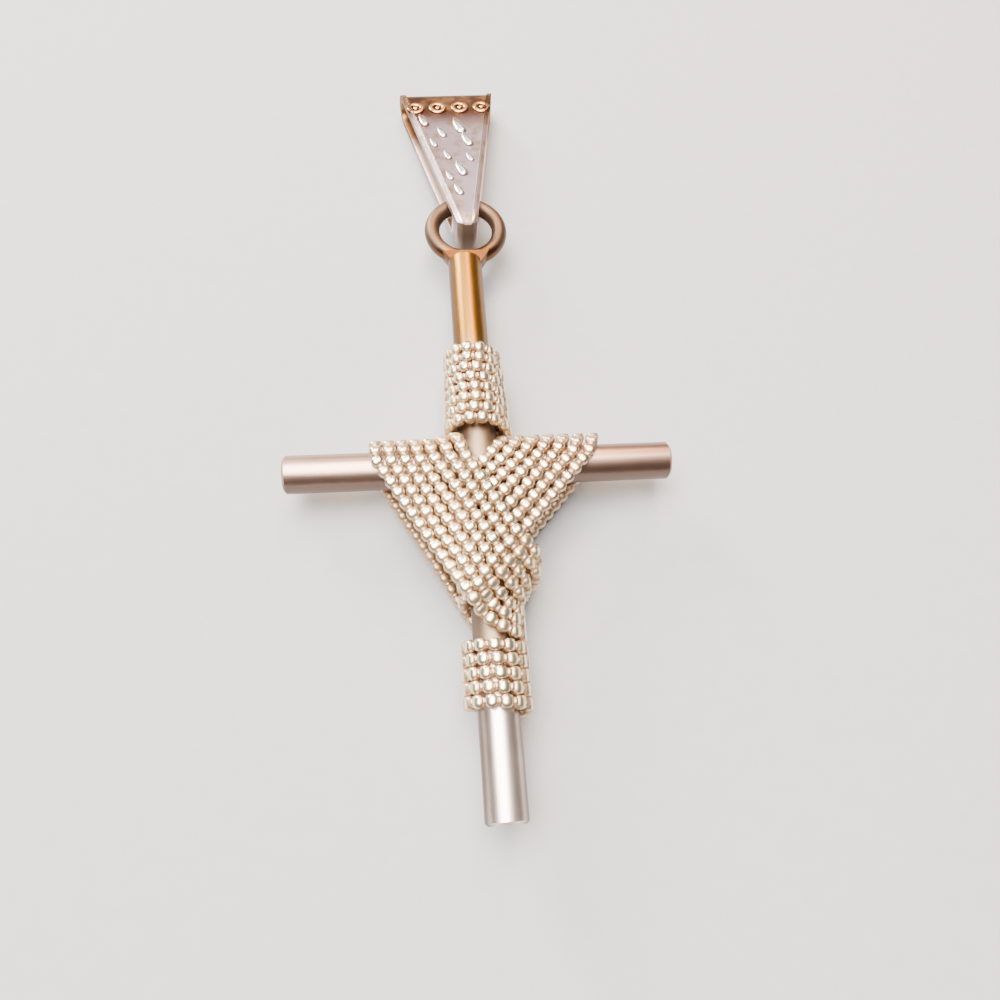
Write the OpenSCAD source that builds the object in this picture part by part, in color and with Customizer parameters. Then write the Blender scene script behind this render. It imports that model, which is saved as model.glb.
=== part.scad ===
// Cross pendant of round silver rod, lashed with beaded wire and hung from a tapered folded bail.
// It lies on its back on a surface: +Z is up, X runs along the arms and +Y runs up the post
// to the bail. The origin is on that surface, under the middle of the pendant.

/* [Rod cross] */
// Diameter of the round rod of post and arms
rod_d = 2.5; // [2:0.1:3]
// Length of the whole crossbar
bar_l = 25.4; // [22:0.2:32]
// Length of the post below the middle of the crossbar
post_drop = 21.8; // [20:0.2:28]
// Length of the post above the middle of the crossbar
post_rise = 17.6; // [15:0.2:22]
// Worn edge at the cut ends of the rods
end_ease = 0.15; // [0.05:0.05:0.3]
// Slope at the top of the post, where solder rounds its end into the ring
top_ease = 0.5; // [0.3:0.05:0.6]

/* [Ring on the post] */
// Outer diameter of the soldered ring
ring_od = 6.3; // [6:0.1:7.5]
// Diameter of the ring wire
ring_wire = 1.15; // [0.9:0.05:1.3]
// How far the ring wire is sunk into the top of the post
ring_sink = 0.55; // [0.3:0.05:0.8]
// Sideways shift of the ring from the middle of the post
ring_shift = 0.25; // [0:0.05:0.4]
// Width of the solder that spreads along the wire on top of the post
solder_w = 3.6; // [3:0.1:4]
// Height of the solder
solder_h = 0.9; // [0.6:0.05:1]

/* [Bail] */
// Length from the tip to the outside of the fold
bail_l = 17.4; // [16:0.2:19]
// Width across the fold
bail_w = 8; // [7:0.1:9]
// Width of the narrow tip
bail_tip_w = 1.5; // [1.2:0.1:2]
// Length over which the two leaves are soldered together at the tip
bail_join = 1.8; // [1:0.1:2.2]
// Thickness of the folded strip
bail_t = 0.45; // [0.35:0.05:0.5]
// Height of the bail, from the back of one leaf to the front of the other
bail_h = 2.4; // [2.4:0.1:3]
// Length of the bail below the ring's wire
bail_hang = 3.7; // [3.4:0.1:4]
// Turn of the bail to the left on its ring, in degrees
bail_turn = 2.6; // [0:0.2:6]
// Sideways shift of the bail from the middle of the ring, negative to the left
bail_shift = -0.1; // [-0.3:0.05:0.3]
// Width of the raised rim along each edge
rim_w = 0.4; // [0.3:0.05:0.5]
// Height of the rims and ornament above the strip
relief_h = 0.16; // [0.1:0.02:0.2]
// Rosettes in the row below the fold
rosettes = 4; // [2:1:4]
// Outer diameter of each rosette
rosette_d = 1.4; // [1:0.1:1.6]
// Space between neighbouring rosettes
rosette_space = 0.45; // [0.1:0.05:0.6]
// Length of the longest leaf-shaped drop on the front of the bail
drop_l = 2; // [1.6:0.1:2.2]
// Width of the widest drop
drop_w = 0.8; // [0.5:0.05:0.9]

/* [Beaded wire] */
// Diameter of the beaded wire
strand_d = 0.8; // [0.6:0.05:0.9]
// Clearance between a winding and what it is wound on
gap = 0.06; // [0.04:0.01:0.1]
// Depth of the groove between neighbouring turns, as a share of the wire's radius
groove = 0.65; // [0.3:0.05:0.8]
// Turns in the collar above the arms
upper_turns = 8; // [5:1:8]
// Space between its neighbouring turns
upper_space = 0.05; // [0:0.01:0.15]
// How much further the lowest turn of the upper collar stands out than its top turn
upper_flare = 0.25; // [0:0.05:0.3]
// Turns in the collar below the drapes
lower_turns = 5; // [3:1:6]
// Space between its neighbouring turns
lower_space = 0.01; // [0:0.01:0.1]

/* [Left drape] */
// Strands in the drape that hangs over the left arm
left_strands = 7; // [5:1:7]
// Distance from the post's middle to its innermost strand on the front of the arm
left_inner_x = 1.24; // [1:0.02:1.3]
// Distance between its strands along the arm
left_arm_pitch = 0.91; // [0.9:0.01:1]
// Depth of its lowest strand on the side of the post, below the crossbar's middle
left_low = 11.5; // [11:0.1:12]
// Distance between its strands along the post
left_post_pitch = 0.7; // [0.68:0.01:0.8]
// Lean of its outermost strand from the post, in degrees
left_outer_lean = 30; // [28:0.2:33]
// Lean of its innermost strand from the post, in degrees
left_inner_lean = 27.6; // [25:0.2:30]
// Strands that stand off the side of the post, next to the right drape's lower edge
bulge_strands = 2; // [1:1:3]
// How far they stand off
bulge = 1.2; // [0.8:0.1:1.3]

/* [Right drape] */
// Strands in the drape that hangs over the right arm
right_strands = 7; // [5:1:7]
// Distance from the post's middle to its innermost strand on the front of the arm
right_inner_x = 0.5; // [0.4:0.05:0.8]
// Distance between its strands along the arm
right_arm_pitch = 1.08; // [1:0.01:1.12]
// Depth of its lowest strand on the side of the post, below the crossbar's middle
right_low = 9.2; // [8.8:0.1:9.6]
// Distance between its strands along the post
right_post_pitch = 1.12; // [1.05:0.01:1.2]
// Lean of its outermost strand from the post, in degrees
right_outer_lean = 42.4; // [40:0.2:44]
// Lean of its innermost strand from the post, in degrees
right_inner_lean = 47.4; // [45:0.2:50]

/* [Hidden] */
$fn = 48;

rod_r = rod_d / 2;
strand_r = strand_d / 2;
// Radius at which a strand's middle lies when it is wound straight on the rod
wound_r = rod_r + gap + strand_r;
// Extra radius of a strand that crosses over another strand
step_r = strand_d + gap;
// Height of the rod axes above the surface that the back of the left drape lies on
axis_z = wound_r + step_r + strand_r;

ring_wire_r = ring_wire / 2;
ring_r = ring_od / 2 - ring_wire_r;
ring_y = post_rise + ring_r + ring_wire_r - ring_sink;

// The bail hangs by its inside on the ring's wire, and its fold rests on the surface
tip_half = bail_tip_w / 2;
top_half = bail_w / 2;
fold_r = bail_h / 2;
fold_in_r = fold_r - bail_t;
fold_y = bail_l - fold_r;
wire_y = ring_y + ring_r;
bail_tilt = -asin((axis_z - fold_r - relief_h) / (fold_y - bail_hang));
bail_top_y = wire_y + top_half * sin(bail_turn)
    + ((fold_y - bail_hang) * cos(bail_tilt) + fold_r + relief_h) * cos(bail_turn);
// Eased corners of the tip
tip_ease = 0.35;
// Place of the row of rosettes, as a share of the way from the tip to the fold
rosette_along = 0.91;
// Hollow and dot of a rosette, as shares of its diameter
rosette_hollow = 0.62;
rosette_dot = 0.28;
// Middle of the whole length, which the origin lies under
mid_y = (bail_top_y - post_drop) / 2;

silver = [0.80, 0.76, 0.72];
warm_silver = [0.86, 0.72, 0.58];
bead_silver = [0.84, 0.78, 0.70];

// Puts a piece modelled about the crossing of the rod axes in its place
module placed() {
    translate([0, -mid_y, axis_z])
        children();
}

// Rod of length l along +Z, with an eased edge at its foot and one of width ease at its top
module rod(l, ease) {
    rotate_extrude()
        polygon([
            [0, 0], [rod_r - end_ease, 0], [rod_r, end_ease],
            [rod_r, l - ease], [rod_r - ease, l], [0, l]
        ]);
}

// Solder on top of the post: it widens upwards to the ring and is as thick as its wire
module solder() {
    translate([0, post_rise + ring_sink / 2, 0])
        rotate([90, 0, 0])
            intersection() {
                cylinder(r1 = solder_w / 2, r2 = rod_r - end_ease, h = solder_h + ring_sink / 2);
                translate([0, 0, solder_h / 2])
                    cube([solder_w, ring_wire, 2 * solder_h], center = true);
            }
}

// Post, crossbar and ring are soldered into one piece of metal
module cross_frame() {
    color(silver)
        placed() {
            translate([-bar_l / 2, 0, 0])
                rotate([0, 90, 0])
                    rod(bar_l, end_ease);
            translate([0, -post_drop, 0])
                rotate([-90, 0, 0])
                    rod(post_drop + post_rise, top_ease);
            translate([ring_shift / 2, 0, 0])
                solder();
            translate([ring_shift, ring_y, 0])
                rotate_extrude()
                    translate([ring_r, 0])
                        circle(r = ring_wire_r);
        }
}

// Side outline of the folded strip, with its outer face raised by extra: it is blunt at the tip,
// straight along both leaves and round at the fold
module strip_outline(extra) {
    r = fold_r + extra;
    difference() {
        union() {
            translate([fold_y, 0])
                circle(r = r);
            polygon([
                [0, tip_ease - r], [tip_ease, -r], [fold_y, -r],
                [fold_y, r], [tip_ease, r], [0, r - tip_ease]
            ]);
        }
        translate([fold_y, 0])
            circle(r = fold_in_r);
        translate([bail_join, -fold_in_r])
            square([fold_y - bail_join, 2 * fold_in_r]);
    }
}

// Plan of the strip, tapered from tip to fold; it runs on past the fold, which the side
// outline ends
module plan_outline() {
    polygon([
        [tip_ease - tip_half, 0], [tip_half - tip_ease, 0], [tip_half, tip_ease],
        [top_half, bail_l], [top_half, bail_l + bail_h],
        [-top_half, bail_l + bail_h], [-top_half, bail_l],
        [-tip_half, tip_ease]
    ]);
}

// Extrudes a side outline across the whole width of the bail
module across() {
    rotate([90, 0, 90])
        linear_extrude(height = 2 * bail_w, center = true)
            children();
}

// Extrudes a plan through the whole height of the bail
module through() {
    linear_extrude(height = 2 * bail_h, center = true)
        children();
}

// Leaf-shaped drop lying on the XY plane: a round foot and a point towards +Y
module drop(l, w) {
    foot_r = w / 2;
    lean = asin(foot_r / (l - foot_r));
    translate([0, 0, -relief_h])
        linear_extrude(height = 2 * relief_h) {
            circle(r = foot_r);
            polygon([
                [-foot_r * cos(lean), foot_r * sin(lean)],
                [foot_r * cos(lean), foot_r * sin(lean)],
                [0, l - foot_r]
            ]);
        }
}

// Rosette standing on the XY plane: a round rim with a dot in its middle
module rosette() {
    rim_r = rosette_d / 2;
    translate([0, 0, -2 * relief_h])
        difference() {
            cylinder(r = rim_r, h = 3 * relief_h);
            translate([0, 0, -relief_h])
                cylinder(r = rosette_hollow * rim_r, h = 5 * relief_h);
        }
    translate([0, 0, -2 * relief_h])
        cylinder(r = rosette_dot * rim_r, h = 3 * relief_h);
}

// Drops on the front leaf, from the fold down to the tip.
// along: share of the way from tip to fold, across: sideways place as a share of the bail's
// width, size: share of the full drop
DROPS = [
    // along, across, size
    [0.78, -0.27, 0.8],
    [0.72, 0.09, 1.0],
    [0.68, -0.10, 0.7],
    [0.61, 0.15, 0.9],
    [0.60, -0.20, 0.6],
    [0.50, -0.08, 0.6],
    [0.48, 0.14, 0.6],
    [0.38, 0.04, 0.9],
    [0.34, -0.09, 0.6],
    [0.23, -0.02, 0.7]
];

// Ornament on the front leaf, which thins out towards the tip
module drops() {
    for (d = DROPS)
        translate([d[1] * bail_w, d[0] * fold_y, fold_r])
            drop(drop_l * d[2], drop_w * d[2]);
}

// Row of rosettes above the drops
module rosette_row() {
    apart = rosette_d + rosette_space;
    for (i = [0 : rosettes - 1])
        translate([(i + 0.5 - rosettes / 2) * apart, rosette_along * fold_y, fold_r])
            rosette();
}

// Rims along both edges of the strip: all of it but the sunk field between them
module rim_plan() {
    field_half = top_half - rim_w;
    field_tip_half = tip_half - rim_w;
    difference() {
        plan_outline();
        polygon([
            [-field_tip_half, -relief_h], [field_tip_half, -relief_h], [field_tip_half, tip_ease],
            [field_half, bail_l], [field_half, bail_l + bail_h],
            [-field_half, bail_l + bail_h], [-field_half, bail_l],
            [-field_tip_half, tip_ease]
        ]);
    }
}

// Folded strip of silver: its two leaves pass the ring's wire on both sides
module bail() {
    color(warm_silver)
        placed()
            translate([ring_shift + bail_shift, wire_y, 0])
                rotate([bail_tilt, 0, bail_turn])
                    translate([0, -bail_hang, 0]) {
                        intersection() {
                            across() strip_outline(0);
                            through() plan_outline();
                        }
                        intersection() {
                            across() strip_outline(relief_h);
                            through() rim_plan();
                        }
                        intersection() {
                            union() {
                                drops();
                                rosette_row();
                            }
                            through() plan_outline();
                        }
                    }
}

// A drape is a closed band of strands that hangs over an arm, leans down across the front,
// turns round the far side of the post and comes back behind. It is worked out here for an arm
// on -X. A row of settings describes one drape:
// count, inner_x, arm_pitch, low, post_pitch, outer_lean, inner_lean, over
LEFT = [
    left_strands, left_inner_x, left_arm_pitch, left_low, left_post_pitch,
    left_outer_lean, left_inner_lean, true
];
RIGHT = [
    right_strands, right_inner_x, right_arm_pitch, right_low, right_post_pitch,
    right_outer_lean, right_inner_lean, false
];

// Stations along half a loop: over the arm, down the straight, round the bend, to the side
arm_steps = 4;
straight_steps = 3;
bend_steps = 6;
side_steps = 3;
half_steps = arm_steps + straight_steps + bend_steps + side_steps;
stations = 2 * half_steps;

function share(a, b, t) = a + (b - a) * t;
function limit(t) = min(1, max(0, t));
function smooth(t) = limit(t) * limit(t) * (3 - 2 * limit(t));

// Strand i of a drape counts from the outermost one
function front_x(d, i) = -(d[1] + (d[0] - 1 - i) * d[2]);
function side_y(d, i) = -d[3] + i * d[4];
function lean(d, i) = share(d[5], d[6], i / (d[0] - 1));
function corner_u(d, i) = front_x(d, i) - side_y(d, i) * tan(lean(d, i));

// The outermost strand of the right drape, which the left one climbs over
right_outer_x = right_inner_x + (right_strands - 1) * right_arm_pitch;
right_cross = right_outer_x / tan(right_outer_lean);
// Sideways place where strand i of the left drape crosses that strand
function crossing_x(d, i) =
    front_x(d, i) + (right_outer_x - front_x(d, i)) * tan(lean(d, i))
        / (tan(lean(d, i)) + tan(right_outer_lean));

// A strand that crosses it right of the post's middle stays high until there, and then turns
// down to the side of the post
function stays_high(d, i) = d[7] && crossing_x(d, i) > 0;
function flat_w(d, i) = stays_high(d, i) ? crossing_x(d, i) : 0;
function side_r(d, i) =
    wound_r + (d[7] ? bulge * smooth((i - d[0] + bulge_strands + 2) / 2.5) : 0);
// Radius of that turn, and the whole distance along the strand's cross path to the side
function corner_r(d, i) = side_r(d, i) - flat_w(d, i);
function side_u(d, i) =
    stays_high(d, i)
    ? flat_w(d, i) + corner_r(d, i) * (PI / 2 - 1) + wound_r + step_r
    : wound_r * PI / 2;

// Where the left drape starts to rise from its arm, where it is up, and the length of its descent
rise_from = 2.1 * wound_r;
rise_to = 0.47 * wound_r;
fall_l = 2;
rise_side = 0.8 * wound_r;
function edge_y(u) =
    -share(right_cross + 3 * gap, right_low + strand_r + gap, limit(-u / rise_side));

// Height of a strand's middle in front of the rod's at the place [u, y] on the front
function height(d, u, y) =
    d[7]
    ? wound_r + step_r * smooth((u + rise_from) / (rise_from - rise_to))
        * (1 - smooth((edge_y(u) - y) / fall_l))
    : wound_r;

// Length over which a strand bends towards the side of the post
bend = 2.4;
// Point [u, y] of strand i on the front, at step k of the straight, bend and side
function start_of_bend(d, i) =
    [corner_u(d, i) - bend * sin(lean(d, i)), side_y(d, i) + bend * cos(lean(d, i))];
function end_of_bend(d, i) =
    [min(corner_u(d, i) + bend, share(corner_u(d, i), side_u(d, i), 0.9)), side_y(d, i)];
function bent(a, b, c, t) = (1 - t) * (1 - t) * a + 2 * t * (1 - t) * b + t * t * c;
function front_uy(d, i, k) =
    k <= straight_steps
    ? share([front_x(d, i), 0], start_of_bend(d, i), k / straight_steps)
    : k <= straight_steps + bend_steps
    ? bent(start_of_bend(d, i), [corner_u(d, i), side_y(d, i)], end_of_bend(d, i),
        (k - straight_steps) / bend_steps)
    : share(end_of_bend(d, i), [side_u(d, i), side_y(d, i)],
        (k - straight_steps - bend_steps) / side_steps);

// Distance of a strand from the post where it crosses the top of the arm
function top_x(d, i) = -(wound_r + 2 * gap + (d[0] - 1 - i) * max(strand_d + gap / 2, 0.9 * d[2]));

// Middle and outward direction of strand i at step k of the half loop in front
function arm_frame(d, i, k) =
    let (
        turn = 90 * (1 - k / arm_steps),
        r = share(wound_r, height(d, front_x(d, i), 0), pow(cos(turn), 2)),
        x = share(front_x(d, i), top_x(d, i), sin(turn))
    )
    [[x, r * sin(turn), r * cos(turn)], [0, sin(turn), cos(turn)]];
function front_frame(d, i, k) =
    let (
        p = front_uy(d, i, k - arm_steps),
        w = flat_w(d, i),
        past = p[0] - w,
        turns = stays_high(d, i) && past > 0,
        h = turns ? wound_r + step_r : height(d, p[0], p[1]),
        r = turns ? corner_r(d, i) : h,
        turn = past <= 0 ? 0 : turns ? min(90, past / r * 180 / PI) : 90 * limit(past / side_u(d, i)),
        down = turns ? max(0, past - r * PI / 2) : 0,
        x = past <= 0 ? p[0] : w + r * sin(turn)
    )
    [[x, p[1], h - r + r * cos(turn) - down], [sin(turn), 0, cos(turn)]];
function half_frame(d, i, k) = k <= arm_steps ? arm_frame(d, i, k) : front_frame(d, i, k);

// The back of the loop mirrors its front
function mirrored(v, back) = [v[0], v[1], back ? -v[2] : v[2]];
function strand_frame(d, i, k) =
    let (
        back = k > half_steps,
        f = half_frame(d, i, back ? stations - k : k)
    )
    [mirrored(f[0], back), mirrored(f[1], back)];

// Outline of the band at station k: ribs outside, one for each strand, and a plain inside,
// which stays a little clear of the rod because its facets cut across the round
inner_share = 0.8;
rib_shoulder = sqrt(0.5);
function rib_points(m, out, before, after) = [
    m + rib_shoulder * (before + strand_r * out),
    m + strand_r * out,
    m + rib_shoulder * (after + strand_r * out)
];
function band_outline(d, k) =
    let (
        n = d[0],
        f = [for (i = [0 : n - 1]) strand_frame(d, i, k)],
        half = [for (i = [0 : n - 2]) (f[i + 1][0] - f[i][0]) / 2],
        edge = [f[0][0] - half[0], f[n - 1][0] + half[n - 2]]
    )
    concat(
        [edge[0]],
        [
            for (i = [0 : n - 1])
                each concat(
                    rib_points(f[i][0], f[i][1], -half[max(0, i - 1)], half[min(i, n - 2)]),
                    i < n - 1
                    ? [f[i][0] + half[i] + (1 - groove) * strand_r * (f[i][1] + f[i + 1][1]) / 2]
                    : []
                )
        ],
        [edge[1]],
        [
            for (i = [n - 1 : -1 : 0])
                f[i][0] - inner_share * strand_r * f[i][1]
        ]
    );

// Closed band through all stations; neighbouring outlines are joined by triangles
module drape(d) {
    rings = [for (k = [0 : stations - 1]) band_outline(d, k)];
    m = len(rings[0]);
    function at(k, j) = (k % stations) * m + j % m;
    polyhedron(
        points = [for (ring = rings) each ring],
        faces = [
            for (k = [0 : stations - 1], j = [0 : m - 1])
                each [
                    [at(k, j), at(k, j + 1), at(k + 1, j + 1)],
                    [at(k, j), at(k + 1, j + 1), at(k + 1, j)]
                ]
        ],
        convexity = 6
    );
}

// Beaded wire over the left arm; it lies over the right drape where the two cross
module left_drape() {
    color(bead_silver)
        placed()
            drape(LEFT);
}

// Beaded wire over the right arm, wound straight on the rods
module right_drape() {
    color(bead_silver)
        placed()
            mirror([1, 0, 0])
                drape(RIGHT);
}

// Turns of wire wound close on the post, from low_y upwards, each one a rib.
// flare is how much further the first turn stands out than the last.
module collar(low_y, turns, space, flare) {
    step = strand_d + space;
    fill_r = wound_r + (1 - groove) * strand_r;
    color(bead_silver)
        placed()
            translate([0, low_y, 0])
                rotate([-90, 0, 0])
                    rotate_extrude()
                        for (i = [0 : turns - 1]) {
                            out = flare * (1 - i / (turns - 1));
                            translate([wound_r + out, strand_r + i * step])
                                circle(r = strand_r);
                            translate([rod_r + gap, strand_r / 2 + i * step])
                                square([fill_r + out - rod_r - gap,
                                    i < turns - 1 ? step : strand_r]);
                        }
}

// Collar above the arms, just clear of the drapes
module upper_collar() {
    collar(wound_r + strand_r + gap, upper_turns, upper_space, upper_flare);
}

// Collar below the drapes, just clear of their lowest strand
module lower_collar() {
    height = lower_turns * strand_d + (lower_turns - 1) * lower_space;
    collar(-(left_low + left_post_pitch / 2 + gap + height), lower_turns, lower_space, 0);
}

cross_frame();
bail();
right_drape();
left_drape();
upper_collar();
lower_collar();
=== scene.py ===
import math

import bpy
from mathutils import Matrix, Vector


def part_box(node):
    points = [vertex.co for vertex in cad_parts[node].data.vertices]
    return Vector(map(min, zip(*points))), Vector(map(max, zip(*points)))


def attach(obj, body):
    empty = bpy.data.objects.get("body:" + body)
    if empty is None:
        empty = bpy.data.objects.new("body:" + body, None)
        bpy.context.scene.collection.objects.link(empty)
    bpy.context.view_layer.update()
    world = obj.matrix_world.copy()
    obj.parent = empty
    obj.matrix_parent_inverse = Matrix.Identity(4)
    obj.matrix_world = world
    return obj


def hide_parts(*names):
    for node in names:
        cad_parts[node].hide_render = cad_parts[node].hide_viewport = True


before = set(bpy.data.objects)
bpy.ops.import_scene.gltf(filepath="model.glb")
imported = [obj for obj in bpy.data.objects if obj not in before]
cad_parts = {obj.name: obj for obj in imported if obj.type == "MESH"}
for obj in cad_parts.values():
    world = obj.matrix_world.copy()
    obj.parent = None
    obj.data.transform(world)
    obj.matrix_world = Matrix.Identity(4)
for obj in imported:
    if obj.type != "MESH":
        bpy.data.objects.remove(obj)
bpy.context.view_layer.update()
mm = 0.001


# Rod cross and ring: post, crossbar and ring of drawn silver, soldered into one piece.
# Drawing and polishing left fine marks along the rods. Their tops are painted light and their
# flanks painted shade; the foot is painted with a highlight, the right arm painted darker, the post
# between the windings painted with shade and tarnish, and the upper end, towards the ring, painted
# with a warm reflection.
def put(tree, socket, value):
    """Links a socket or sets a constant."""
    if isinstance(value, Signal):
        tree.links.new(value.socket, socket)
    else:
        socket.default_value = value


def add_node(tree, kind, settings, sockets, output=0):
    """One output of a new node, whose settings are set before its sockets' values or links."""
    node = tree.nodes.new(kind)
    for name, value in settings.items():
        setattr(node, name, value)
    for key, value in sockets.items():
        put(tree, node.inputs[key], value)
    return Signal(tree, node.outputs[output])


class Signal:
    """A node output that can be used in sums and products."""

    def __init__(self, tree, socket):
        self.tree = tree
        self.socket = socket

    def math(self, operation, *values):
        settings = {"operation": operation}
        return add_node(self.tree, "ShaderNodeMath", settings, dict(enumerate(values)))

    def __abs__(self):
        return self.math("ABSOLUTE", self)

    def __add__(self, other):
        return self.math("ADD", self, other)

    def __sub__(self, other):
        return self.math("SUBTRACT", self, other)

    def __rsub__(self, other):
        return self.math("SUBTRACT", other, self)

    def __mul__(self, other):
        return self.math("MULTIPLY", self, other)

    __radd__ = __add__
    __rmul__ = __mul__

    def smooth(self, low, high):
        """0 below low, 1 above high and a smooth step between them."""
        settings = {"interpolation_type": "SMOOTHSTEP"}
        sockets = {"Value": self, "From Min": low, "From Max": high}
        return add_node(self.tree, "ShaderNodeMapRange", settings, sockets)


class Look:
    """A material under construction."""

    def __init__(self, name):
        self.material = bpy.data.materials.new(name)
        self.material.use_nodes = True
        self.tree = self.material.node_tree
        self.shader = self.tree.nodes["Principled BSDF"]

    def attribute(self, label):
        """A value kept on the points of a piece."""
        settings = {"attribute_name": label}
        return add_node(self.tree, "ShaderNodeAttribute", settings, {}, output="Fac")

    def millimetres(self):
        """Object coordinates in millimetres, as a vector and as its parts."""
        place = add_node(self.tree, "ShaderNodeTexCoord", {}, {}, output="Object")
        settings = {"operation": "SCALE"}
        sockets = {"Vector": place, "Scale": 1 / mm}
        scaled = add_node(self.tree, "ShaderNodeVectorMath", settings, sockets)
        split = add_node(self.tree, "ShaderNodeSeparateXYZ", {}, {"Vector": scaled})
        return scaled, [Signal(self.tree, part) for part in split.socket.node.outputs]

    def noise(self, place, scale, detail, roughness):
        sockets = {"Vector": place, "Scale": scale, "Detail": detail, "Roughness": roughness}
        return add_node(self.tree, "ShaderNodeTexNoise", {}, sockets)

    def streaks(self, x, y, z, detail):
        """Noise drawn out along the axis whose part is multiplied by the least."""
        place = add_node(self.tree, "ShaderNodeCombineXYZ", {}, {"X": x, "Y": y, "Z": z})
        return self.noise(place, 1.0, detail, 0.6)

    def blend(self, share, one, other):
        """One colour where share is 0 and the other where it is 1."""
        share_socket, one_socket, other_socket, colour_output = 0, 6, 7, 2
        sockets = {share_socket: share, one_socket: one, other_socket: other}
        return add_node(self.tree, "ShaderNodeMix", {"data_type": "RGBA"}, sockets, colour_output)

    def bump(self, height, strength, distance):
        sockets = {"Height": height, "Strength": strength, "Distance": distance}
        return add_node(self.tree, "ShaderNodeBump", {}, sockets)

    def set(self, **values):
        """Sets the shader's sockets, whose spaces are written as underscores."""
        for key, value in values.items():
            put(self.tree, self.shader.inputs[key.replace("_", " ")], value)


# The frame's origin lies under the middle of the whole length; places on the cross are
# measured from the crossing of the rods' middle lines
rod_r, post_drop = 1.25, 21.8
low_post, high_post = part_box("cross_frame")
crossing = Vector((0, low_post.y + post_drop * mm, (low_post.z + high_post.z) / 2))

# Between which places one finish fades into the next, in millimetres: along the arms, up the
# post, and in front of or behind the rods' middle
arms_begin, arms_below = (3.4, 3.5), (3.0, 3.2)
right_arm_shade, foot_highlight_ends, warm_reflection_begins, ring_begins = (3.0, 8.0), (-14.0, -4.0), (5.0, 10.5), (17.8, 18.8)
wound_from, wound_to = (-13.0, -12.3), (3.0, 4.0)
lit_top_from = (0.45, 1.2)

# How closely the marks lie across a rod, and how fast they change along it
marks_across, marks_along = 14.0, 0.5

foot_highlight_silver = (0.94, 0.79, 0.71, 1.0)
left_silver = (0.60, 0.39, 0.295, 1.0)
shaded_right_silver = (0.46, 0.28, 0.21, 1.0)
shaded_tarnished_silver = (0.30, 0.21, 0.135, 1.0)
warm_reflection_tone = (0.34, 0.16, 0.03, 1.0)
ring_tone = (0.165, 0.098, 0.06, 1.0)
shaded_flank_silver = (0.16, 0.11, 0.09, 1.0)
shaded_flank_warm = (0.12, 0.055, 0.025, 1.0)
shaded_flank_ring = (0.12, 0.078, 0.055, 1.0)

rod_look = Look("rod_silver_look")
place, (along_x, along_y, up_z) = rod_look.millimetres()
up_post = along_y - crossing.y / mm
on_arm = abs(along_x).smooth(*arms_begin) * (1 - up_post.smooth(*arms_below))
along_post = (along_x * marks_across, along_y * marks_along, up_z * marks_across)
along_arm = (along_x * marks_along, along_y * marks_across, up_z * marks_across)
marks = rod_look.streaks(*along_post, 4.0) * (1 - on_arm) + rod_look.streaks(*along_arm, 4.0) * on_arm
cloud = rod_look.noise(place, 0.35, 3.0, 0.55)
on_ring = (up_post + 1.5 * (cloud - 0.5)).smooth(*ring_begins)
# Painted reflection: the upper post and the ring are tinted warm, standing in for a warm reflection.
in_warm_reflection = up_post.smooth(*warm_reflection_begins)
# Painted shade and tarnish: the bare post between the two collars is painted darker.
shade_and_tarnish_near_wire = up_post.smooth(*wound_from) * (1 - up_post.smooth(*wound_to)) * (1 - on_arm)
# Painted light and shade: the rods' tops, away from their middle height, take the lit colour and their
# flanks a painted shade; on the ring the painted highlight spreads further.
from_middle = abs(up_z - crossing.z / mm)
lit_top_share = (from_middle * (1 + 0.8 * on_ring) + 0.35 * (cloud - 0.5)).smooth(*lit_top_from)

# Painted shade: the right arm is painted darker than the left.
bright = rod_look.blend(along_x.smooth(*right_arm_shade), left_silver, shaded_right_silver)
# Painted highlight: the lower post is painted lighter towards its foot.
bright = rod_look.blend(up_post.smooth(*foot_highlight_ends), foot_highlight_silver, bright)
bright = rod_look.blend(in_warm_reflection, bright, warm_reflection_tone)
bright = rod_look.blend(on_ring, bright, ring_tone)
bright = rod_look.blend(shade_and_tarnish_near_wire, bright, shaded_tarnished_silver)
flank_shade = rod_look.blend(in_warm_reflection, shaded_flank_silver, shaded_flank_warm)
flank_shade = rod_look.blend(on_ring, flank_shade, shaded_flank_ring)
rod_look.set(
    Base_Color=rod_look.blend(lit_top_share, flank_shade, bright),
    Metallic=1.0,
    Roughness=0.24 + 0.12 * marks + 0.06 * cloud + 0.14 * (on_ring + shade_and_tarnish_near_wire),
    Normal=rod_look.bump(marks, 0.2, 0.02 * mm),
)
cross_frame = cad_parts["cross_frame"]
cross_frame.data.materials.clear()
cross_frame.data.materials.append(rod_look.material)


# Bail: a long tapered strip of silver, folded over so that its two leaves pass the ring on both
# sides, and soldered together at the tip. Rims, rosettes and drops stand out from a satin ground.
# It is modelled lying along +Y with the tip at the origin, and is then put on the ring.
bail_l, bail_h, bail_t = 17.4 * mm, 2.4 * mm, 0.45 * mm
tip_half, top_half, tip_ease = 0.75 * mm, 4.0 * mm, 0.35 * mm
join_l, rim_w, relief_h = 1.8 * mm, 0.4 * mm, 0.16 * mm
fold_r = bail_h / 2
fold_y = bail_l - fold_r
leaf_z = fold_r - bail_t / 2
fold_steps = 16

# Distances within which points are one point, and within which they lie on an edge
tiny, near = 0.001 * mm, 0.02 * mm


def select_faces(mesh, wanted):
    """In edit mode, selects only the faces whose centre and normal are wanted."""
    bpy.ops.mesh.select_mode(type="FACE")
    bpy.ops.mesh.select_all(action="DESELECT")
    bpy.ops.object.mode_set(mode="OBJECT")
    for face in mesh.polygons:
        face.select = wanted(face.center, face.normal)
    bpy.ops.object.mode_set(mode="EDIT")


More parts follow.
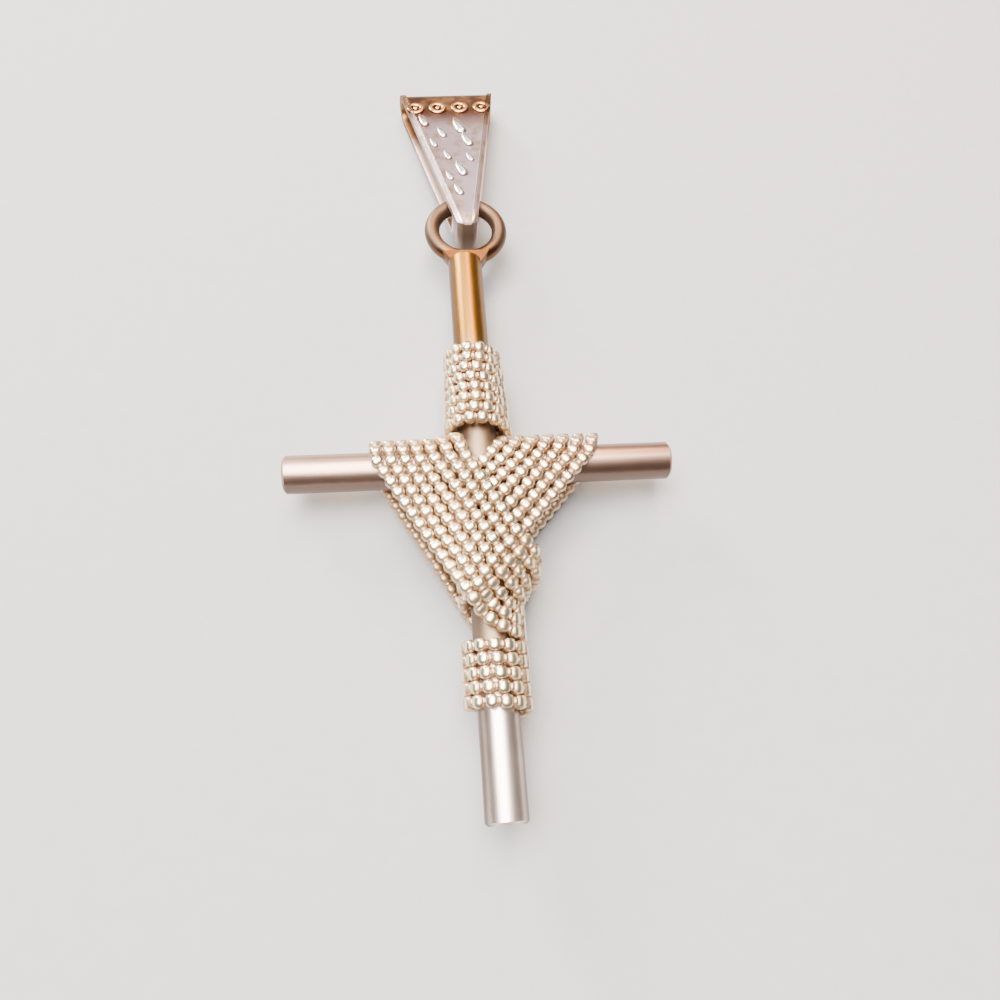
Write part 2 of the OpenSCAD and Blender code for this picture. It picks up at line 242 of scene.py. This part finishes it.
def select_points(mesh, wanted):
    """In edit mode, selects only the points whose place is wanted."""
    bpy.ops.mesh.select_mode(type="VERT")
    bpy.ops.mesh.select_all(action="DESELECT")
    bpy.ops.object.mode_set(mode="OBJECT")
    for vertex in mesh.vertices:
        vertex.select = wanted(vertex.co)
    bpy.ops.object.mode_set(mode="EDIT")


def scale(factors, about=(0, 0, 0)):
    """In edit mode, scales what is selected along each axis about a place."""
    bpy.ops.transform.resize(value=factors, center_override=about)


def cut(at, normal, away=False):
    """In edit mode, cuts a mesh along a plane; away takes off what lies beyond and closes it."""
    bpy.ops.mesh.select_all(action="SELECT")
    bpy.ops.mesh.bisect(plane_co=at, plane_no=normal, use_fill=away, clear_outer=away, threshold=tiny)


def outside(point):
    """Distance of a place from the middle line of the folded strip's side outline."""
    return abs(point.z) if point.y < fold_y else math.hypot(point.y - fold_y, point.z)


def from_edge(point):
    """Distance of a place from the tapered edge of the strip."""
    slope = (top_half - tip_half) / (bail_l - tip_ease)
    return (tip_half + slope * (point.y - tip_ease) - abs(point.x)) / math.hypot(1, slope)


def inside_tip(at, normal):
    """Whether a face is one of the two that meet where the leaves are soldered together."""
    return at.y < join_l and normal.z * at.z < 0 and abs(at.z) < fold_r - 0.9 * bail_t


def on_rim(at, normal):
    """Whether a face lies along a tapered edge, on the outside of the strip."""
    outer = outside(at) > fold_r - 0.1 * bail_t
    return outer and from_edge(at) < rim_w and abs(normal.x) < 0.5 and normal.y > -0.5


def on_rim_edge(at):
    """Whether a point lies on the outer edge of a raised rim."""
    return abs(from_edge(at)) < near and outside(at) > fold_r + 0.9 * relief_h


# The cut end of the strip is drawn out along the front, round the fold and back behind
bpy.ops.object.select_all(action="DESELECT")
bpy.ops.mesh.primitive_plane_add(size=1.0, rotation=(math.pi / 2, 0, 0), location=(0, 0, leaf_z))
strip = bpy.context.object
bpy.ops.object.transform_apply(rotation=True, location=True)
bpy.ops.object.mode_set(mode="EDIT")
scale((2.2 * top_half, 1.0, bail_t), (0, 0, leaf_z))
bpy.ops.mesh.extrude_region_move(TRANSFORM_OT_translate={"value": (0, fold_y, 0)})
bpy.ops.mesh.spin(steps=fold_steps, angle=math.pi, center=(0, fold_y, 0), axis=(1, 0, 0))
bpy.ops.mesh.extrude_region_move(TRANSFORM_OT_translate={"value": (0, -fold_y, 0)})
bpy.ops.mesh.select_all(action="SELECT")
bpy.ops.mesh.remove_doubles(threshold=tiny)
bpy.ops.mesh.normals_make_consistent(inside=False)

# The leaves are joined at the tip, and the strip is cut to its taper
cut((0, join_l, 0), (0, 1, 0))
select_faces(strip.data, inside_tip)
bpy.ops.mesh.bridge_edge_loops()
side = Vector((bail_l - tip_ease, tip_half - top_half, 0)).normalized()
for sign in (-1, 1):
    corner = Vector((sign * tip_half, tip_ease, 0))
    outward = Vector((sign * side.x, side.y, 0))
    cut(corner, outward, away=True)
    cut(corner, (sign, -1, 0), away=True)
    cut(corner - rim_w * outward, outward)

# The rims are raised, slope down towards the edges and are eased all round
rim_slope = 0.83
select_faces(strip.data, on_rim)
bpy.ops.mesh.extrude_region_shrink_fatten(TRANSFORM_OT_shrink_fatten={"value": relief_h})
select_points(strip.data, lambda at: on_rim_edge(at) and at.y < fold_y + near)
scale((1.0, 1.0, rim_slope))
select_points(strip.data, lambda at: on_rim_edge(at) and at.y > fold_y + near)
scale((1.0, rim_slope, rim_slope), (0, fold_y, 0))
bpy.ops.object.mode_set(mode="OBJECT")
eased = strip.modifiers.new("eased", "BEVEL")
eased.width = 0.05 * mm
eased.segments = 2
eased.limit_method = "ANGLE"
eased.angle_limit = math.radians(25)
bpy.ops.object.modifier_apply(modifier="eased")

# One drop: a small dome with a round foot, drawn out to a point towards the fold
drop_r, drop_point, drop_flat = 0.4 * mm, 4.0, 0.5
bpy.ops.object.select_all(action="DESELECT")
bpy.ops.mesh.primitive_uv_sphere_add(
    segments=16, ring_count=10, radius=drop_r, rotation=(-math.pi / 2, 0, 0)
)
drop = bpy.context.object
drop.name = "drop"
bpy.ops.object.transform_apply(rotation=True)
bpy.ops.object.mode_set(mode="EDIT")
select_points(drop.data, lambda at: at.y > 0.01 * mm)
scale((1.0, drop_point, 1.0))
select_points(drop.data, lambda at: at.y > 0.7 * drop_point * drop_r)
scale((0.7, 1.0, 1.0))
bpy.ops.mesh.select_all(action="SELECT")
scale((1.0, 1.0, drop_flat))
cut((0, 0, -0.01 * mm), (0, 0, -1), away=True)
bpy.ops.object.mode_set(mode="OBJECT")

# One rosette: a ring of wire round a dot
rosette_r, rosette_wire_r, rosette_dot_r, rosette_flat = 0.54 * mm, 0.23 * mm, 0.24 * mm, 0.65
bpy.ops.mesh.primitive_torus_add(
    major_radius=rosette_r, minor_radius=rosette_wire_r, major_segments=28, minor_segments=10
)
rosette = bpy.context.object
rosette.name = "rosette"
bpy.ops.object.mode_set(mode="EDIT")
bpy.ops.mesh.primitive_uv_sphere_add(segments=12, ring_count=8, radius=rosette_dot_r)
bpy.ops.mesh.select_all(action="SELECT")
scale((1.0, 1.0, rosette_flat))
bpy.ops.object.mode_set(mode="OBJECT")

# Each drop's share of the way from tip to fold, sideways place as a share of the full width,
# and size
drops = (
    (0.78, -0.27, 0.92), (0.72, 0.09, 1.15), (0.68, -0.10, 0.805), (0.61, 0.15, 1.035),
    (0.60, -0.20, 0.69), (0.50, -0.08, 0.69), (0.48, 0.14, 0.69), (0.38, 0.04, 1.035),
    (0.34, -0.09, 0.69), (0.23, -0.02, 0.805),
)
drop_lean = math.radians(15)
rosettes, rosette_pitch, rosette_along = 4, 1.85 * mm, 0.91
placings = []
for along, across, size in drops:
    at = Matrix.Translation((2 * across * top_half, along * fold_y, fold_r))
    placings.append((drop, at @ Matrix.Rotation(drop_lean, 4, "Z") @ Matrix.Scale(size, 4)))
for k in range(rosettes):
    across = (k - (rosettes - 1) / 2) * rosette_pitch
    placings.append((rosette, Matrix.Translation((across, rosette_along * fold_y, fold_r))))
bpy.ops.object.select_all(action="DESELECT")
for pattern, placing in placings:
    made = bpy.data.objects.new(pattern.name, pattern.data.copy())
    made.data.transform(placing)
    bpy.context.collection.objects.link(made)
    made.select_set(True)
strip.select_set(True)
bpy.context.view_layer.objects.active = strip
bpy.ops.object.join()
bpy.ops.object.shade_smooth_by_angle(angle=math.radians(40))
for pattern in (drop, rosette):
    bpy.data.objects.remove(pattern)

# Where a point lies on the bail: its height above the ground as a share of the relief's, its
# share of the length, and its distance in millimetres from the edge, less than 0 on the left
points = [vertex.co for vertex in strip.data.vertices]
for label, values in (
    ("rise", [(outside(point) - fold_r) / relief_h for point in points]),
    ("along", [point.y / bail_l for point in points]),
    ("edge", [math.copysign(from_edge(point), point.x) / mm for point in points]),
):
    strip.data.attributes.new(label, "FLOAT", "POINT").data.foreach_set("value", values)

# The strip hangs on the top of the ring's wire and rests on its fold
wire_x, wire_y = 0.15, 22.775
hang_y, bail_turn = 3.7 * mm, math.radians(2.6)
bail_tilt = -math.asin((crossing.z - fold_r - relief_h) / (fold_y - hang_y))
strip.data.transform(
    Matrix.Translation(crossing + Vector((wire_x, wire_y, 0)) * mm)
    @ Matrix.Rotation(bail_turn, 4, "Z") @ Matrix.Rotation(bail_tilt, 4, "X")
    @ Matrix.Translation((0, -hang_y, 0))
)
strip.name = strip.data.name = "bail_strip"

leaf_silver = (0.42, 0.325, 0.365, 1.0)
fold_brown = (0.085, 0.032, 0.012, 1.0)
leaf_tarnish = (0.30, 0.21, 0.16, 1.0)
fold_tarnish = (0.26, 0.12, 0.045, 1.0)
relief_highlight_silver = (1.0, 0.97, 0.96, 1.0)
warm_relief_highlight = (0.75, 0.37, 0.13, 1.0)
warm_rim_reflection = (0.34, 0.16, 0.07, 1.0)
lit_inner_silver = (0.92, 0.74, 0.65, 1.0)
lit_inner_warm = (0.30, 0.14, 0.06, 1.0)
left_rim_edge_silver = (0.60, 0.45, 0.39, 1.0)
dark_tip_tone = (0.25, 0.195, 0.15, 1.0)

bail_look = Look("bail_silver_look")
place, (along_x, along_y, up_z) = bail_look.millimetres()
rise, along, edge = (bail_look.attribute(label) for label in ("rise", "along", "edge"))
grain = bail_look.noise(place, 7.0, 5.0, 0.6)
cloud = bail_look.noise(place, 0.9, 3.0, 0.5)
brushed = bail_look.streaks(along_x * 12.0, along_y * 0.8, up_z * 12.0, 3.0)
# Painted reflection: towards the fold the ground, relief, rims and inside faces are tinted warm,
# standing in for a warm reflection; the tarnish mottling there is the bail's own.
in_warm_reflection = (along + 0.1 * (cloud - 0.5)).smooth(0.66, 0.82)
raised = (rise + 0.15 * (grain - 0.5)).smooth(0.3, 0.8)
on_edge = 1 - abs(edge).smooth(0.4, 0.5)
tarnished = (cloud + 0.4 * (grain - 0.5)).smooth(0.45, 0.68)
# Painted light: the outer edge of the left rim alone is toned a pinkish silver, for how light falls on
# that side.
left_rim_edge_painted = edge.smooth(-0.22, -0.12) * (1 - edge.smooth(0.0, 0.02)) * (1 - in_warm_reflection) * raised
# The tip is painted darker and made rougher.
at_tip = 1 - (along + 0.02 * (grain - 0.5)).smooth(0.0, 0.03)

warm_relief = bail_look.blend(on_edge, warm_relief_highlight, warm_rim_reflection)
# Painted highlight: the raised relief is painted near white against the darker ground.
relief = bail_look.blend(in_warm_reflection, relief_highlight_silver, warm_relief)
clean = bail_look.blend(in_warm_reflection, leaf_silver, fold_brown)
tarnish = bail_look.blend(in_warm_reflection, leaf_tarnish, fold_tarnish)
outer = bail_look.blend(raised, bail_look.blend(tarnished, clean, tarnish), relief)
# Painted light: the inside faces of the strip are painted light against the shade inside the fold.
inner = bail_look.blend(in_warm_reflection, lit_inner_silver, lit_inner_warm)
metal = bail_look.blend(rise.smooth(-2.4, -1.4), inner, outer)
metal = bail_look.blend(left_rim_edge_painted, metal, left_rim_edge_silver)
bail_look.set(
    Base_Color=bail_look.blend(at_tip, metal, dark_tip_tone),
    Metallic=1.0,
    Roughness=0.42 - 0.18 * raised + 0.10 * (grain - 0.5) + 0.3 * at_tip,
    Normal=bail_look.bump(grain * 0.6 + brushed * 0.4, 0.25, 0.03 * mm),
)
strip.data.materials.clear()
strip.data.materials.append(bail_look.material)
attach(strip, "root")
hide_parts("bail")


# Beaded wire: fine silver wire pressed into a row of beads with short necks between them.
# One bead with its neck is modelled here, with the wire's line along Z and its outer side, worn
# a little flat, along X. It is then repeated along every strand and turn.
strand_d, gap = 0.8, 0.06
wound_r = rod_r + gap + strand_d / 2
step_r = strand_d + gap
bead_r, bead_pitch = 0.43 * mm, 0.84 * mm
neck_r, neck_l = 0.64 * bead_r, 0.5 * bead_r
cap_from, cap_x, cap_flat = 0.68 * bead_r, 0.74 * bead_r, 0.1

bpy.ops.object.select_all(action="DESELECT")
bpy.ops.mesh.primitive_uv_sphere_add(segments=10, ring_count=6, radius=bead_r)
bead = bpy.context.object
bpy.ops.object.mode_set(mode="EDIT")
scale((0.95, 1.0, 1.0))
select_faces(bead.data, lambda at, normal: at.x > cap_from)
scale((cap_flat, 1.0, 1.0), (cap_x, 0, 0))
bpy.ops.object.mode_set(mode="OBJECT")
bpy.ops.mesh.primitive_cylinder_add(
    vertices=6, radius=neck_r, depth=neck_l, end_fill_type="NGON", location=(0, 0, bead_r)
)
bead.select_set(True)
bpy.context.view_layer.objects.active = bead
bpy.ops.object.join()
bead_points = [vertex.co.copy() for vertex in bead.data.vertices]
bead_faces = [list(face.vertices) for face in bead.data.polygons]
bpy.data.objects.remove(bead)


def resample(line, pitch, phase):
    """Places at even steps along a line of points with outward directions.

    Each place comes with the line's direction and the outward one. The first lies a phase,
    as a share of a step, from the line's start.
    """
    lengths = [(b[0] - a[0]).length for a, b in zip(line, line[1:])]
    count = round(sum(lengths) / pitch)
    step = sum(lengths) / count
    places = []
    index, passed = 0, 0.0
    for k in range(count):
        wanted = (k + phase) * step
        while index < len(lengths) - 1 and passed + lengths[index] < wanted:
            passed += lengths[index]
            index += 1
        (a, out_a), (b, out_b) = line[index], line[index + 1]
        t = (wanted - passed) / lengths[index]
        places.append((a.lerp(b, t), (b - a).normalized(), out_a.lerp(out_b, t)))
    return places


def scattered(k, number):
    """A value from 0 to 1 that jumps about from bead to bead and strand to strand."""
    return math.sin(12.9898 * k + 78.233 * number) * 43758.5453 % 1.0


def string_beads(name, strands, node):
    """One mesh of beads, strung along all strands of a piece, in place of a node."""
    points, faces, rises, tones = [], [], [], []
    for number, places in enumerate(strands):
        for k, (middle, along, out) in enumerate(places):
            side = along.cross(out).normalized()
            turn = Matrix((side.cross(along), side, along)).transposed()
            start = len(points)
            points.extend(middle + turn @ point for point in bead_points)
            rises.extend(point.x / bead_r for point in bead_points)
            tones.extend([scattered(k, number)] * len(bead_points))
            faces.extend([start + corner for corner in face] for face in bead_faces)
    mesh = bpy.data.meshes.new(name)
    mesh.from_pydata(points, [], faces)
    for label, values in (("rise", rises), ("tone", tones)):
        mesh.attributes.new(label, "FLOAT", "POINT").data.foreach_set("value", values)
    mesh.polygons.foreach_set("use_smooth", [True] * len(mesh.polygons))
    mesh.materials.append(bead_look.material)
    piece = bpy.data.objects.new(name, mesh)
    bpy.context.collection.objects.link(piece)
    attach(piece, "root")
    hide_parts(node)


white_bead = (1.0, 0.91, 0.65, 1.0)
straw_bead = (0.97, 0.78, 0.50, 1.0)
dim_right_bead_highlight = (0.84, 0.62, 0.43, 1.0)
shaded_bead_flank = (0.70, 0.51, 0.34, 1.0)

bead_look = Look("bead_silver_look")
place, (along_x, _, _) = bead_look.millimetres()
rise, tone = bead_look.attribute("rise"), bead_look.attribute("tone")
grain = bead_look.noise(place, 5.0, 3.0, 0.5)
cap = bead_look.blend(tone, white_bead, straw_bead)
# Painted shade: bead caps towards the right are painted dimmer and rosier.
cap = bead_look.blend(0.8 * along_x.smooth(1.0, 5.0), cap, dim_right_bead_highlight)
# Painted highlight and shade: each bead's outer cap is painted bright, its flanks and neck painted
# shade.
lit_cap_share = (rise + 0.15 * (grain - 0.5)).smooth(0.55, 0.74)
bead_look.set(
    Base_Color=bead_look.blend(lit_cap_share, shaded_bead_flank, cap),
    Metallic=1.0,
    Roughness=0.36 - 0.14 * lit_cap_share + 0.08 * grain + 0.08 * tone,
    Normal=bead_look.bump(grain, 0.1, 0.02 * mm),
)


# Drapes: strands of beaded wire that hang over an arm, lean down across the front, turn round
# the far side of the post and come back behind. They are worked out for an arm on -X, in
# millimetres about the crossing of the rods, and the back of each mirrors its front.
def smooth(t):
    t = min(1.0, max(0.0, t))
    return t * t * (3 - 2 * t)


def mix(a, b, t):
    return a + (b - a) * t


# Where the drape on top starts to rise from its arm and where it is up, how far from the post's
# middle the edge of the one below it is level, and the length of its way back down
rise_from, rise_to, rise_side, fall_l = 2.1 * wound_r, 0.47 * wound_r, 0.8 * wound_r, 2.0

# Length over which a strand bends towards the side of the post, at most a share of the way
# there, and the share of their pitch on the arm that the strands keep on its top
bend_l, bend_share, top_share = 2.4, 0.9, 0.9

# Steps along the stretches of a strand's path
straight_steps, bend_steps, side_steps, arm_steps = 32, 32, 12, 16

# How many innermost strands of the drape on top stand off the side of the post, over how many
# of them the bulge grows, and how far it reaches
bulge_strands, bulge_ease, bulge = 3, 2.5, 1.2


class Drape:
    """Sizes of one drape in millimetres and degrees; strand 0 is the outermost."""

    def __init__(self, count, inner_x, arm_pitch, low, post_pitch, outer_lean, inner_lean, under=None):
        self.count, self.inner_x, self.arm_pitch = count, inner_x, arm_pitch
        self.low, self.post_pitch = low, post_pitch
        self.outer_lean, self.inner_lean = math.radians(outer_lean), math.radians(inner_lean)
        self.outer_x = inner_x + (count - 1) * arm_pitch
        self.under = under

    def height(self, u, y):
        """Height of a strand's middle in front of the rod's at a place on the front."""
        under = self.under
        if under is None:
            return wound_r
        cross_y = under.outer_x / math.tan(under.outer_lean)
        aside = min(1.0, max(0.0, -u / rise_side))
        edge_y = -mix(cross_y + 3 * gap, under.low + strand_d / 2 + gap, aside)
        risen = smooth((u + rise_from) / (rise_from - rise_to))
        return wound_r + step_r * risen * (1 - smooth((edge_y - y) / fall_l))

    def turn_down(self, i, front_x, lean):
        """Flat width of strand i on the front, radius of its turn, and way to the side."""
        if self.under is None:
            return 0.0, wound_r, wound_r * math.pi / 2
        side_r = wound_r + bulge * smooth((i + 1 - self.count + bulge_strands) / bulge_ease)
        slope, under_slope = math.tan(lean), math.tan(self.under.outer_lean)
        crossing_x = front_x + (self.under.outer_x - front_x) * slope / (slope + under_slope)

        # A strand that crosses the lower drape's edge right of the post's middle stays high
        # until there
        flat, top_r = (crossing_x, wound_r + step_r) if crossing_x > 0 else (0.0, wound_r)
        return flat, side_r - flat, flat + (side_r - flat) * (math.pi / 2 - 1) + top_r

    def strand(self, i):
        """Middle line of strand i as a closed loop of points, each with its outward direction."""
        from_inner = self.count - 1 - i
        front_x = -(self.inner_x + from_inner * self.arm_pitch)
        top_pitch = max(strand_d + gap / 2, top_share * self.arm_pitch)
        top_x = -(wound_r + 2 * gap + from_inner * top_pitch)
        side_y = -self.low + i * self.post_pitch
        lean = mix(self.outer_lean, self.inner_lean, i / (self.count - 1))
        corner = front_x - side_y * math.tan(lean)
        flat, corner_r, side_u = self.turn_down(i, front_x, lean)

        def on_front(u, y):
            """Place and outward direction of a point u along the way across, y up the post."""
            past = u - flat
            h = self.height(u, y)
            if past <= 0:
                return Vector((u, y, h)), Vector((0, 0, 1))
            if flat == 0:
                turn = math.pi / 2 * min(1.0, past / side_u)
                out = Vector((math.sin(turn), 0, math.cos(turn)))
                return Vector((0, y, 0)) + h * out, out
            turn = min(math.pi / 2, past / corner_r)
            down = max(0.0, past - corner_r * math.pi / 2)
            out = Vector((math.sin(turn), 0, math.cos(turn)))
            return Vector((flat, y, wound_r + step_r - corner_r - down)) + corner_r * out, out

        start = Vector((corner - bend_l * math.sin(lean), side_y + bend_l * math.cos(lean)))
        knee = Vector((corner, side_y))
        end = Vector((min(corner + bend_l, mix(corner, side_u, bend_share)), side_y))
        side_end = Vector((side_u, side_y))
        path = [Vector((front_x, 0)).lerp(start, k / straight_steps) for k in range(straight_steps)]
        for k in range(bend_steps):
            t = k / bend_steps
            path.append((1 - t) ** 2 * start + 2 * t * (1 - t) * knee + t * t * end)
        path += [end.lerp(side_end, k / side_steps) for k in range(side_steps + 1)]
        front = [on_front(u, y) for u, y in path]
        over_arm = []
        for k in range(1, arm_steps):
            turn = math.pi / 2 * k / arm_steps
            r = mix(self.height(front_x, 0), wound_r, math.sin(turn) ** 2)
            out = Vector((0, math.sin(turn), math.cos(turn)))
            over_arm.append((Vector((mix(front_x, top_x, math.sin(turn)), 0, 0)) + r * out, out))
        top = [(Vector((top_x, wound_r, 0)), Vector((0, 1, 0)))]
        mirror = Matrix.Diagonal((1, 1, -1))
        back = [(mirror @ point, mirror @ out) for point, out in reversed(front[:-1])]
        over_back = [(mirror @ point, mirror @ out) for point, out in over_arm]
        return front + back + over_back + top + over_arm[::-1] + front[:1]


def hang(drape, side, phases):
    """Places for the beads of a drape in metres, on the given side of the post."""
    flip = Matrix.Diagonal((side, 1, 1))
    strands = []
    for i, phase in enumerate(phases):
        line = [(crossing + mm * (flip @ point), flip @ out) for point, out in drape.strand(i)]
        strands.append(resample(line, bead_pitch, phase))
    return strands


# Right drape: seven strands of beaded wire over the right arm, wound straight on the rods and
# round the left side of the post. The phases shift each strand's beads, as shares of a step,
# from the outermost strand inwards.
right = Drape(
    count=7, inner_x=0.5, arm_pitch=1.08, low=9.2, post_pitch=1.12, outer_lean=42.4, inner_lean=47.4
)
right_phases = (0.8, 0.8, 0.4, 0.2, 0.3, 0.6, 0.6)
string_beads("right_drape_beads", hang(right, -1, right_phases), "right_drape")


# Left drape: seven strands of beaded wire over the left arm, which climb over the right drape
# in front and behind, fall back on the post below it and go round its right side. The
# innermost ones stand off the post there.
left = Drape(
    count=7, inner_x=1.24, arm_pitch=0.91, low=11.5, post_pitch=0.7, outer_lean=30.0, inner_lean=27.6,
    under=right,
)
left_phases = (0.2, 0.2, 0.2, 0.2, 0.2, 0.5, 0.6)
string_beads("left_drape_beads", hang(left, 1, left_phases), "left_drape")


# Collars: beaded wire wound close round the post in a helix, whose ends are tucked under at the
# back. The upper one stands a little further out where it meets the drapes.
turn_steps = 48


def wind(low, turns, flare=0.0):
    """Places for the beads of a wire wound up the post, whose front slopes down to the right."""
    line = []
    for k in range(int(turns * turn_steps) + 1):
        angle = math.pi - 2 * math.pi * k / turn_steps
        r = wound_r + flare * (1 - k / (turns * turn_steps))
        out = Vector((math.sin(angle), 0, math.cos(angle)))
        up = Vector((0, low + strand_d * k / turn_steps, 0))
        line.append((crossing + mm * (up + r * out), out))
    return [resample(line, bead_pitch, 0.0)]


upper_clear, upper_turns, upper_flare = 0.21, 8.1, 0.25
upper_low = wound_r + strand_d / 2 + upper_clear
lower_low, lower_turns = -15.8, 4.9
string_beads("upper_collar_beads", wind(upper_low, upper_turns, upper_flare), "upper_collar")
string_beads("lower_collar_beads", wind(lower_low, lower_turns), "lower_collar")


# Floor, light and camera: a pale matte sheet under soft lamps. The camera looks down on the
# cross from above its foot, a little to its left.
grey_sheet = (0.46, 0.46, 0.475, 1.0)
pale_sheet = (0.52, 0.52, 0.525, 1.0)
bpy.ops.object.select_all(action="DESELECT")
bpy.ops.mesh.primitive_plane_add(size=1.2)
floor = bpy.context.object
floor.name = "floor"
floor_look = Look("floor_look")
fibre = floor_look.noise(floor_look.millimetres()[0], 0.8, 4.0, 0.6)
floor_look.set(
    Base_Color=floor_look.blend(fibre, grey_sheet, pale_sheet),
    Roughness=0.85 + 0.1 * fibre,
    Normal=floor_look.bump(fibre, 0.1, 0.05 * mm),
)
floor.data.materials.append(floor_look.material)

world = bpy.data.worlds.new("studio")
bpy.context.scene.world = world
world.use_nodes = True
backdrop = world.node_tree.nodes["Background"]
backdrop.inputs["Color"].default_value = (0.80, 0.72, 0.68, 1.0)
backdrop.inputs["Strength"].default_value = 0.25


def lamp(name, location, size, size_y, power, colour):
    """A soft oblong lamp that points at the crossing of the rods."""
    light = bpy.data.lights.new(name, "AREA")
    light.shape = "RECTANGLE"
    light.size = size
    light.size_y = size_y
    light.energy = power
    light.color = colour
    made = bpy.data.objects.new(name, light)
    bpy.context.collection.objects.link(made)
    made.location = location
    made.rotation_euler = (crossing - Vector(location)).to_track_quat("-Z", "Y").to_euler()


lamp("key_lamp", (-0.08, 0.05, 0.40), 0.38, 0.32, 8.4, (1.0, 0.96, 0.92))
lamp("amber_lamp", (0.08, 0.30, 0.36), 0.08, 0.20, 1.4, (1.0, 0.60, 0.25))
lamp("straw_lamp", (-0.24, 0.34, 0.17), 0.14, 0.16, 3.6, (1.0, 0.93, 0.82))
lamp("far_lamp", (0.03, 0.52, 0.28), 0.26, 0.14, 0.35, (0.92, 0.90, 1.0))

view = bpy.data.cameras.new("camera")
view.sensor_width = 36.0
view.lens = 27.04
view.clip_start = 0.005
camera = bpy.data.objects.new("camera", view)
bpy.context.collection.objects.link(camera)
camera.location = crossing + Vector((-3.60, -21.75, 44.64)) * mm
camera.rotation_mode = "ZYX"
camera.rotation_euler = [math.radians(angle) for angle in (23.43, -5.54, -2.51)]
bpy.context.scene.camera = camera
